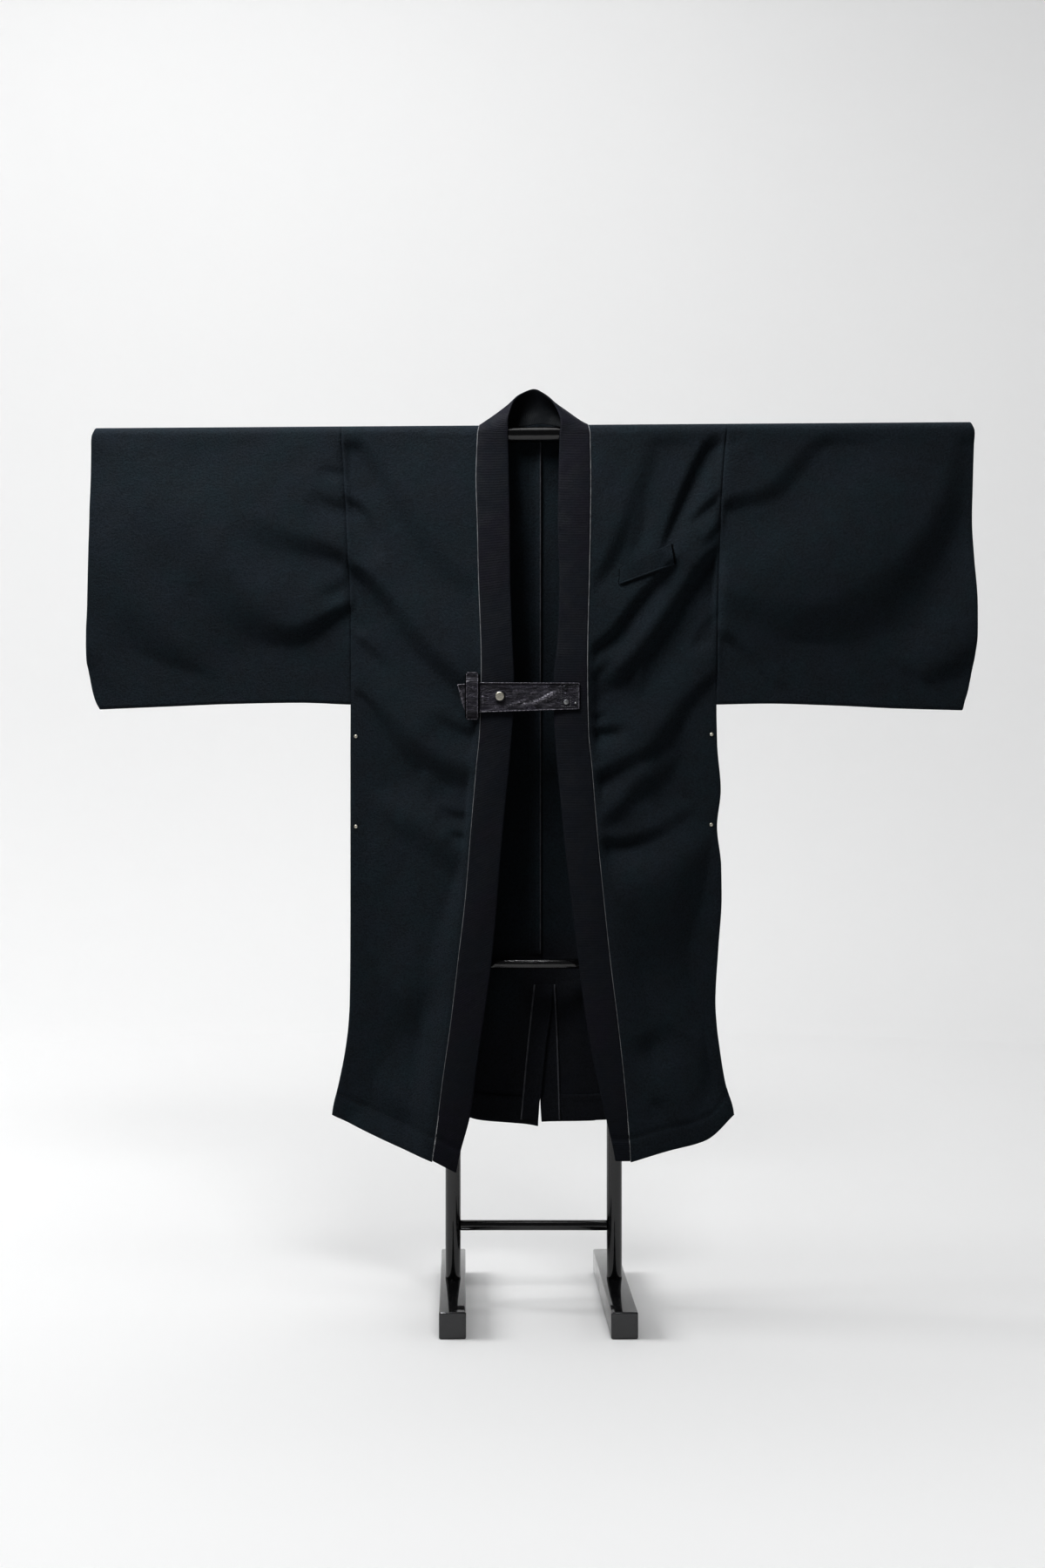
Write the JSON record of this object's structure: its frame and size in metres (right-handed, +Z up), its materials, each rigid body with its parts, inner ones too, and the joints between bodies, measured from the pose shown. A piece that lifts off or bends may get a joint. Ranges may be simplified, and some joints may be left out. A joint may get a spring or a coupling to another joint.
{
  "type": "haori jacket on a kimono stand",
  "caption": "Long open-fronted haori jacket with wide sewn sleeves, a piped collar band, a leather snap strap and a chest pocket, hung by its sleeves on a lacquered kimono stand.",
  "frame": {"origin": "on the floor under the middle of the whole part's box; the middle of the posts is 3.8 mm towards +X", "axes": "+Z up, -Y towards the garment's open front, +X towards the wearer's left"},
  "size_m": [1.395, 0.4408, 1.444],
  "materials": {
    "cloth": "matt, fine plain weave",
    "band": "matt, fine cross ribs",
    "piping": "satin",
    "leather": "creased, satin",
    "snap": "polished",
    "dark_metal": "satin",
    "lacquer": "black gloss lacquer"
  },
  "bodies": {
    "root": {"body_left": "cloth", "body_right": "cloth", "sleeve_left": "cloth", "sleeve_right": "cloth", "vent_facing_left": "cloth", "vent_facing_right": "cloth", "chest_pocket_welt": "cloth", "collar_band": "band", "collar_piping": "piping", "closure_strap": "leather", "strap_keeper": "leather", "snap_cap": "snap", "side_rivet_left_lower": "snap", "side_rivet_left_upper": "snap", "side_rivet_right_lower": "snap", "side_rivet_right_upper": "snap", "strap_rivet_lower": "dark_metal", "strap_rivet_upper": "dark_metal", "crossbar_low": "lacquer", "crossbar_mid": "lacquer", "foot_left": "lacquer", "foot_right": "lacquer", "post_left": "lacquer", "post_right": "lacquer", "sleeve_rod": "lacquer"}
  },
  "joints": []
}
